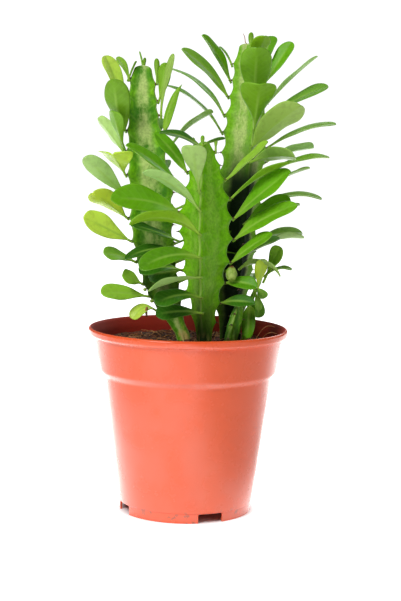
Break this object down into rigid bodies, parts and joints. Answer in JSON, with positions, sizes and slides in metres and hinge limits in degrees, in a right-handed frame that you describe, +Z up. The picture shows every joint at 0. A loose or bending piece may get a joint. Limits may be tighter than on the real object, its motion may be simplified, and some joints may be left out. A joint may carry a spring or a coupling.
{
  "type": "potted plant",
  "caption": "African milk tree with three upright three-ribbed stems and spoon-shaped leaves, growing in a round tapered plastic nursery pot with a rolled rim and a notched foot",
  "frame": {"origin": "middle of the underside of the whole plant's bounding box, level with the underside of the pot's foot; the pot's axis stands 13.1 mm from it along -X", "axes": "+Z up, -Y towards the front of the plant, +X to the right as seen from the front"},
  "size_m": [0.1647, 0.13, 0.3105],
  "materials": {
    "pot": "gloss",
    "soil": "matte",
    "stem": "satin",
    "leaf": "satin",
    "bud": "satin"
  },
  "bodies": {
    "root": {"pot": "pot", "soil": "soil", "stem_front": "stem", "stem_left": "stem", "stem_right": "stem", "side_shoot": "stem", "base_shoot": "stem", "bud": "bud", "left_leaf_01": "leaf", "left_leaf_02": "leaf", "left_leaf_03": "leaf", "left_leaf_04": "leaf", "left_leaf_05": "leaf", "left_leaf_06": "leaf", "left_leaf_07": "leaf", "left_leaf_08": "leaf", "left_leaf_09": "leaf", "left_leaf_10": "leaf", "left_leaf_11": "leaf", "left_leaf_12": "leaf", "left_leaf_13": "leaf", "front_leaf_01": "leaf", "front_leaf_02": "leaf", "front_leaf_03": "leaf", "front_leaf_04": "leaf", "front_leaf_05": "leaf", "front_leaf_06": "leaf", "front_leaf_07": "leaf", "front_leaf_08": "leaf", "front_leaf_09": "leaf", "front_leaf_10": "leaf", "front_leaf_11": "leaf", "front_leaf_12": "leaf", "front_leaf_13": "leaf", "front_leaf_14": "leaf", "front_leaf_15": "leaf", "front_leaf_16": "leaf", "front_leaf_17": "leaf", "front_leaf_18": "leaf", "right_leaf_01": "leaf", "right_leaf_02": "leaf", "right_leaf_03": "leaf", "right_leaf_04": "leaf", "right_leaf_05": "leaf", "right_leaf_06": "leaf", "right_leaf_07": "leaf", "right_leaf_08": "leaf", "right_leaf_09": "leaf", "right_leaf_10": "leaf", "right_leaf_11": "leaf", "right_leaf_12": "leaf", "right_leaf_13": "leaf", "right_leaf_14": "leaf", "right_leaf_15": "leaf", "right_leaf_16": "leaf", "right_leaf_17": "leaf", "right_leaf_18": "leaf", "right_leaf_19": "leaf", "shoot_leaf_01": "leaf", "shoot_leaf_02": "leaf"}
  },
  "joints": []
}
